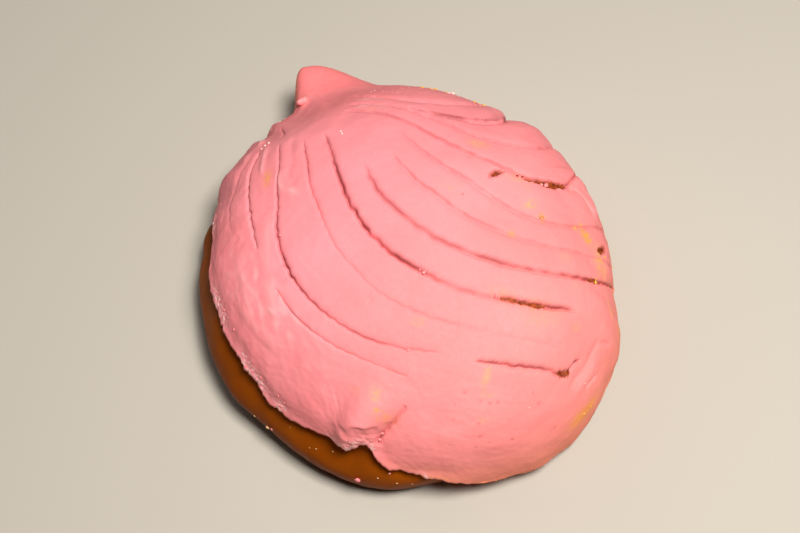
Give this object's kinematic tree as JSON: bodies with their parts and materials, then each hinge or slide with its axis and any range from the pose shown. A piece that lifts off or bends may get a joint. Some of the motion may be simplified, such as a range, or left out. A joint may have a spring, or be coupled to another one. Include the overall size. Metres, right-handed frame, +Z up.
{
  "type": "concha",
  "caption": "Round sweet bread roll with a thick pink sugar crust scored into a scallop-shell fan, with a small hinge tab and a pinched edge; lies flat on its base.",
  "frame": {"origin": "on the flat underside, below the middle of the whole roll's bounding box", "axes": "+Z up from the table, +Y towards the hinge tab at the back, +X to the right of the shell's open side"},
  "size_m": [0.1124, 0.127, 0.045],
  "materials": {
    "browned_bread": "smooth browned crust of a sweet bun, slightly glossy, darker towards the base",
    "pink_sugar_paste": "matte pink sugar and fat paste, baked dry, with crumbly edges and a few yellow specks of fat"
  },
  "bodies": {
    "root": {"bread_bun": "browned_bread", "sugar_crust": "pink_sugar_paste"}
  },
  "joints": []
}
